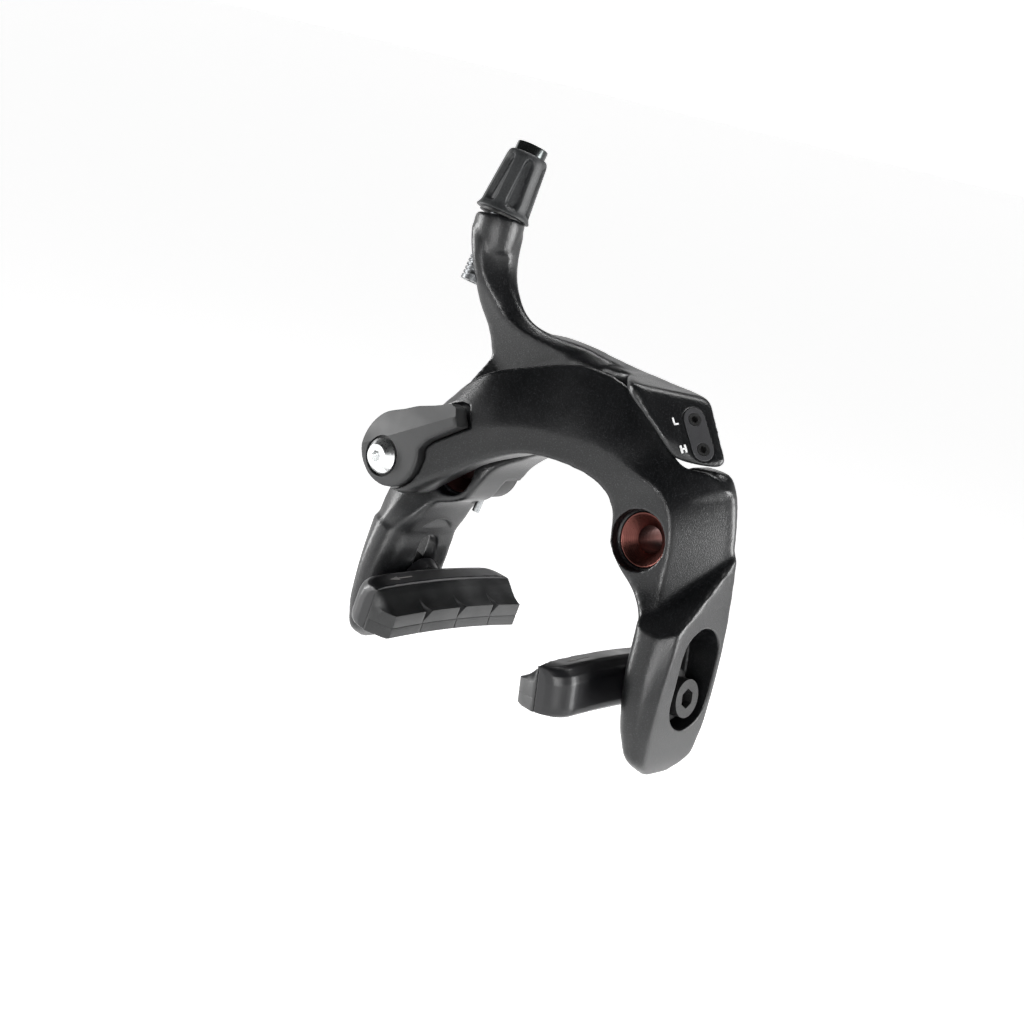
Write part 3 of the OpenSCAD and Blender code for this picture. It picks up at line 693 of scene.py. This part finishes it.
def tension_marks():
    """Letters L and H beside the two screws: low and high spring tension."""

    def place(v, u, w):
        return TENSION_FACE @ Vector((-u, v, w))

    x = -5.5
    z = SCREW_STEP - 0.5
    low = [box(x, z, x + 0.42, z + 1.8), box(x, z, x + 1.25, z + 0.42)]
    mark("low_mark", low, place, "rear_arm", WHITE_PAINT)
    z = -SCREW_STEP + 0.1
    high = [box(x, z, x + 0.42, z + 1.8), box(x + 1.05, z, x + 1.47, z + 1.8)]
    high.append(box(x + 0.3, z + 0.7, x + 1.2, z + 1.1))
    mark("high_mark", high, place, "rear_arm", WHITE_PAINT)


def rear_arm():
    """Arm with the left-hand leg, the bridge, the neck and the block of the tension screws."""
    shells = [loft("leg", mirrored(LEG_ROWS[:6])), loft("shoulder", LEFT_SHOULDER_ROWS)]
    shells += [loft("bridge", BRIDGE_ROWS), loft("web", WEB_ROWS)]
    shells += [tube("collar", COLLAR_ROWS), tension_block()]
    cutters = pivot_bore(-POST_X) + pad_slot(-1) + spring_room(-POST_X, LEFT_SPRING_RADIUS)
    cutters.append(slab_y("sync_slot", sync_slot(ROLLER_RADIUS), -30, 5))
    cutters.append(placed(rod("barrel_bore", (0, 0, -9.5), (0, 0, 12), STEM_RADIUS), BARREL))
    pocket = [(v, u) for u, v in stadium(2.8, SCREW_STEP)]
    cutters.append(placed(slab_z("pocket", pocket, -0.5, 4), TENSION_FACE))
    for d in (-SCREW_STEP, SCREW_STEP):
        cutters.append(placed(rod("screw_bore", (d, 0, -8), (d, 0, 4), 1.55), TENSION_FACE))
    arm = forge(shells, cutters, voxel=0.3, blend=7, rounds=3)
    settle(arm, "rear_arm_body", ["rear_arm"], COAT)


front_arm()
rear_arm()
tension_marks()


# ---------- lever, pads and knob ----------


def crisp(obj, angle):
    """Keeps edges sharper than this many degrees sharp."""
    obj.data.set_sharp_from_angle(angle=math.radians(angle))


def lever():
    """Lever cap: a soft round end, and a crease that runs from the hub to the tip."""
    cap = forge([slab_y("cap", lever_outline(-0.02), -30.3, -25.6)], [], 0.3, 0, 10)
    facet = slab_y("facet", box(-14, 0, 46, 20), -12, 0)
    slope = Matrix.Translation((-38.8, -30.0, 4.4)) @ Matrix.Rotation(math.radians(-29), 4, "Y")
    slope = slope @ Matrix.Rotation(math.radians(-17), 4, "X")
    x, z = ANCHOR
    cutters = [
        placed(facet, slope),
        rod("recess", (x, -33, z), (x, -29.05, z), 5.0),
        rod("bore", (x, -33, z), (x, -20, z), 2.6),
        rod("socket", (x, -26.85, z), (x, -20, z), 3.02),
    ]
    carve(cap, cutters)
    settle(cap, "lever_cap", ["qr_lever"], LEVER_COAT)
    crisp(cap, 12)


def pad_rise(y):
    """Pads follow the rim, so their middle stands a little higher than their ends."""
    return 0.6 - ((y - PAD_MIDDLE) / (PAD_LENGTH / 2)) ** 2


def from_end(y):
    """Distance from the nearer end of a pad."""
    return PAD_LENGTH / 2 - abs(y - PAD_MIDDLE)


def pad_stations():
    """Places along a pad, closer together at its ends."""
    near = [0, 0.25, 0.5, 0.9, 1.4, 1.8, 2.4, 3.2, 4.2, 5.4]
    inner = [near[-1] + (PAD_LENGTH - 2 * near[-1]) * i / 30 for i in range(1, 30)]
    steps = near + inner + [PAD_LENGTH - d for d in near[::-1]]
    return [PAD_MIDDLE - PAD_LENGTH / 2 + d for d in steps]


def holder_ring(y):
    """Section of a holder, whose back corners are round in plan."""
    cut = max(0.0, HOLDER_CORNER - from_end(y))
    back = HOLDER_BACK - (HOLDER_CORNER - math.sqrt(HOLDER_CORNER**2 - cut * cut))
    taper = 0.02 * cut * cut
    foot = PAD_FOOT - HOLDER_LIP + pad_rise(y) + taper
    top = PAD_FOOT + PAD_TALL + HOLDER_LIP + pad_rise(y) - taper
    ring = [(HOLDER_FACE, foot), (back - 1.5, foot), (back - 0.4, foot + 0.7), (back, foot + 2.0)]
    ring += [(back, top - 3.6), (back - 0.5, top - 1.8), (back - 1.7, top - 0.5)]
    ring += [(back - 3.0, top), (HOLDER_FACE, top)]
    return [(x, y, z) for x, z in ring]


def holder(side):
    """Pad holder, with a land where its bolt goes in."""
    shells = [skin("holder", [holder_ring(y) for y in pad_stations()])]
    shells.append(rod("land", (27.5, SLOT_Y, -PAD_DROP), (29.4, SLOT_Y, -PAD_DROP), 5.6))
    cutters = [
        rod("bolt_bore", (20, SLOT_Y, -PAD_DROP), (40, SLOT_Y, -PAD_DROP), 3.0),
        rod("screw_bore", (20, SCREW_Y, -PAD_DROP), (40, SCREW_Y, -PAD_DROP), 1.55),
    ]
    for piece in shells + cutters:
        placed(piece, leg(side))
    body = forge(shells, cutters, voxel=0.26, blend=0, rounds=3)
    name = side_word(side)
    settle(body, "holder_" + name, ["pad_holder_" + name], HOLDER_COAT)
    direction_mark(side)


def direction_mark(side):
    """Arrow on top of a holder that points to the front."""

    def on_top(u, v, w):
        y = v - 32
        return leg(side) @ Vector((23.6 + u, y, PAD_FOOT + PAD_TALL + HOLDER_LIP + pad_rise(y) + w))

    name = side_word(side)
    arrow = [box(-0.16, 2.4, 0.16, 7.6), [(-0.75, 2.8), (0.0, 0.0), (0.75, 2.8)]]
    mark("direction_mark_" + name, arrow, on_top, BODY_OF["pad_holder_" + name], GREY_PAINT)


def pad_reach(y):
    """How far the rubber stands out: it slopes back at the front end."""
    slope = 2.4 if y < RIM_Y else 0.5
    return min(1.0, 0.1 + from_end(y) / slope)


def rubber_ring(y):
    """Section of the rubber, from its foot up over the friction face to the sloping top."""
    profile = [(0.0, 0.0), (5.6, 0.0), (RUBBER_THICK, 0.5), (RUBBER_THICK, 6.3), (5.4, 6.6)]
    profile += [(4.2, 7.2), (3.0, 8.1), (1.8, 9.2), (0.9, 10.0), (0.0, PAD_TALL)]
    return [(RUBBER_BACK - pad_reach(y) * u, y, PAD_FOOT + pad_rise(y) + v) for u, v in profile]


def seam_height(y):
    return PAD_FOOT + 3.0 + pad_rise(y)


def seam():
    """Fine groove along the friction face and round the ends."""
    rings = []
    for y in pad_stations():
        face = RUBBER_BACK - pad_reach(y) * RUBBER_THICK
        z = seam_height(y)
        ring = box(face - 1, z, face + 0.16, z + 0.16)
        rings.append([(u, y, v) for u, v in ring])
    return skin("seam", rings)


def notch(y):
    """Slanted water notch above the seam, and the shallow line and foot that go on below it."""
    z = seam_height(y)
    narrow = [(14.0, y, z + 0.3), (14.0, y + 0.3, z + 0.3), (14.9, y, z + 0.3)]
    wide = [(14.0, y, z + 3.4), (14.0, y + 3.0, z + 3.4), (17.2, y, z + 3.4)]
    mouth = [(14.0, y, z + 6.4), (14.0, y + 3.8, z + 6.4), (18.4, y, z + 6.4)]
    return [
        skin("notch", [narrow, wide, mouth]),
        slab_y("foot", box(14, z - 5, 15.4, z - 2.3), y - 0.2, y + 0.9),
        slab_y("line", box(14, z - 4, 14.75, z - 0.1), y + 0.1, y + 0.4),
    ]


def rubber(side):
    """Pad rubber, with room behind it for the ends of the bolt and the screw."""
    body = skin("rubber", [rubber_ring(y) for y in pad_stations()])
    cutters = [seam()]
    for y in (-26.2, -13.6, -0.6):
        cutters += notch(y)
    cutters.append(rod("bolt_room", (21.5, SLOT_Y, -PAD_DROP), (20.0, SLOT_Y, -PAD_DROP), 3.2))
    cutters.append(rod("screw_room", (21.5, SCREW_Y, -PAD_DROP), (20.3, SCREW_Y, -PAD_DROP), 1.5))
    carve(body, cutters)
    placed(body, leg(side))
    bevel = body.modifiers.new("bevel", "BEVEL")
    bevel.width = 0.14
    bevel.segments = 2
    bevel.limit_method = "ANGLE"
    bevel.angle_limit = math.radians(30)
    apply_modifiers(body)
    name = side_word(side)
    settle(body, "rubber_" + name, ["brake_pad_" + name], RUBBER)
    crisp(body, 30)


def knob_profile():
    """(radius, z) points of the grip: up its outside, then down the bore."""
    lip = [(3.02, 0.7), (6.2, 0.7), (6.8, 0.78), (6.84, 1.0), (6.5, 1.6), (6.25, 2.2), (6.15, 3.0)]
    flank = [(6.1, 3.8)] + [(6.05 - 0.085 * (z - 4.4), z) for z in [4.4 + 0.35 * i for i in range(31)]]
    end = [(5.0, 15.6), (4.8, 16.05), (4.5, 16.3)]
    bore = [(4.02, 16.3), (4.02, 9.06), (3.02, 9.06)]
    return lip + flank + end + bore


def dish_depth(radius, z, turn):
    """Depth of the six long shallow dishes at a place on the grip."""
    if radius <= 4.3 or not 1.5 < z < 15.5:
        return 0.0
    away = (turn - 0.35 + math.pi / 6) % (math.pi / 3) - math.pi / 6
    half_width = 2.15 - 0.075 * (z - 3)
    along = max(0.0, (3.9 - z) / 1.9, (z - 13.2) / 1.9)
    reach = math.hypot(radius * away / half_width, along)
    ease = min(1.0, max(0.0, (1.0 - reach) / 0.42))
    return 1.25 * ease * ease * (3 - 2 * ease)


def knob():
    """Moulded grip: six long shallow dishes, and a lip that flares out at the foot."""
    profile = knob_profile()
    rows, count = len(profile), 240
    points = []
    for radius, z in profile:
        for turn in around(count):
            r = radius - dish_depth(radius, z, turn)
            points.append((r * math.cos(turn), r * math.sin(turn), z))
    faces = []
    for i in range(rows):
        for j in range(count):
            k, m = (i + 1) % rows, (j + 1) % count
            faces.append((i * count + j, i * count + m, k * count + m, k * count + j))
    grip = placed(new_object("knob", points, faces), BARREL)
    settle(grip, "grip", ["barrel_knob"], KNOB_RUBBER)
    crisp(grip, 50)


lever()
knob()
for which in (1, -1):
    holder(which)
    rubber(which)


# ---------- CAD pieces that keep their shape ----------

BEVELS = {"soft": 0.25, "fine": 0.12}
CAD_LOOKS = {
    # The left bushing takes the darker bronze, whose colour holds painted shade.
    "pivot_bushing_left": (BRONZE_LEFT_PAINTED_SHADE, "fine"),
    "pivot_bushing_right": (BRONZE_RIGHT, "fine"),
    "anchor_bolt": (POLISHED, "fine"),
    "barrel_ferrule": (BLACK_CHROME, "soft"),
    "barrel_stem": (DULL_STEEL, None),
    "barrel_washer": (NYLON, None),
    "clamp_plate": (ZINC, "fine"),
    "sync_pin": (ZINC, "fine"),
    "sync_roller": (BLACK_STEEL, "fine"),
    "qr_hub": (LEVER_COAT, "fine"),
    "hub_clip": (BLACK_STEEL, "fine"),
    "tension_plate": (INSERT, "fine"),
    "low_screw": (BLACK_STEEL, "fine"),
    "high_screw": (BLACK_STEEL, "fine"),
}
for hand in ("left", "right"):
    CAD_LOOKS["retaining_ring_" + hand] = (BLACK_STEEL, "fine")
    CAD_LOOKS["return_spring_" + hand] = (ZINC, None)
    CAD_LOOKS["spring_cup_" + hand] = (NYLON, "fine")
    CAD_LOOKS["pad_bolt_" + hand] = (BLACK_STEEL, "soft")
    CAD_LOOKS["seat_washer_" + hand] = (BLACK_STEEL, "soft")
    CAD_LOOKS["dome_washer_" + hand] = (HOLDER_COAT, "soft")
    CAD_LOOKS["pad_screw_" + hand] = (BLACK_STEEL, "fine")


def dress_cad(node, material, bevel):
    """Gives a CAD node its material and takes the sharpness off its edges."""
    obj = frame["nodes"][node]
    obj.data.materials.clear()
    obj.data.materials.append(material)
    weld = obj.modifiers.new("weld", "WELD")
    weld.merge_threshold = 0.002 * MM
    if bevel:
        edge = obj.modifiers.new("bevel", "BEVEL")
        edge.width = BEVELS[bevel] * MM
        edge.segments = 3
        edge.limit_method = "ANGLE"
        edge.angle_limit = math.radians(35)
        edge.use_clamp_overlap = True


for node_name, (look, bevel_name) in CAD_LOOKS.items():
    if not frame["nodes"][node_name].hide_render:
        dress_cad(node_name, look, bevel_name)


# ---------- stage, light and camera ----------


def area_light(name, place, target, size, power):
    """A soft rectangular light; place, target and size are in millimetres."""
    data = bpy.data.lights.new(name, "AREA")
    data.shape = "RECTANGLE"
    data.size = size[0] * MM
    data.size_y = size[1] * MM
    data.energy = power
    light = bpy.data.objects.new(name, data)
    bpy.context.scene.collection.objects.link(light)
    light.location = Vector(place) * MM
    aim = Vector(target) * MM - light.location
    light.rotation_euler = aim.to_track_quat("-Z", "Y").to_euler()


def floor():
    """A plain pale floor well below the caliper."""
    half, height = 40, -0.16
    corners = box(-half, -half, half, half)
    sheet = new_object("floor", [(x, y, height) for x, y in corners], [(0, 1, 2, 3)])
    mat, principled = shader("floor_paper", (0.9, 0.9, 0.9), 0.9)
    principled.inputs["Emission Color"].default_value = (1, 1, 1, 1)
    principled.inputs["Emission Strength"].default_value = 0.85
    sheet.data.materials.append(mat)


def surround():
    """Studio walls that are bright near the horizon and dark overhead."""
    world = bpy.data.worlds.new("studio")
    bpy.context.scene.world = world
    world.use_nodes = True
    tree = world.node_tree
    place = tree.nodes.new("ShaderNodeTexCoord")
    split = tree.nodes.new("ShaderNodeSeparateXYZ")
    tone = tree.nodes.new("ShaderNodeValToRGB")
    tree.links.new(place.outputs["Generated"], split.inputs["Vector"])
    tree.links.new(split.outputs["Z"], tone.inputs["Fac"])
    stops = [(0.05, 0.52), (0.1, 0.6), (0.2, 1.0), (0.3, 0.004)]
    elements = tone.color_ramp.elements
    elements[0].position = stops[0][0]
    elements[1].position = stops[-1][0]
    for height, _ in stops[1:-1]:
        elements.new(height)
    for element, (_, level) in zip(elements, stops):
        element.color = (level, level, level, 1)
    tree.links.new(tone.outputs["Color"], tree.nodes["Background"].inputs["Color"])
    tree.nodes["Background"].inputs["Strength"].default_value = 1.95


def lights():
    area_light("front", (300, -620, 60), (0, -10, 0), (420, 60), 2.2)
    area_light("right", (520, 260, 60), (40, 0, -10), (260, 260), 3.5)
    area_light("top", (-30, 160, 420), (0, 0, 10), (420, 60), 1.4)
    area_light("left", (-480, -240, 60), (-20, 0, 10), (80, 300), 2.4)


def camera():
    """Camera from the front right, a little above, rolled as a hand would hold the part."""
    azimuth, elevation, roll = (math.radians(a) for a in (36.44, 12.36, 13.54))
    back = Vector((
        math.sin(azimuth) * math.cos(elevation),
        -math.cos(azimuth) * math.cos(elevation),
        math.sin(elevation),
    ))
    level = Vector((math.cos(azimuth), math.sin(azimuth), 0))
    rise = back.cross(level)
    right = level * math.cos(roll) + rise * math.sin(roll)
    up = rise * math.cos(roll) - level * math.sin(roll)
    data = bpy.data.cameras.new("camera")
    data.sensor_width = 36
    data.lens = 70.31
    data.clip_start = 0.01
    data.clip_end = 50
    cam = bpy.data.objects.new("camera", data)
    bpy.context.scene.collection.objects.link(cam)
    turn = Matrix((right, up, back)).transposed().to_4x4()
    place = Vector((265.8, -388.1, 95.9)) * MM
    cam.matrix_world = Matrix.Translation(place) @ turn
    bpy.context.scene.camera = cam


camera()
floor()
surround()
lights()
bpy.context.scene.view_settings.view_transform = "Standard"
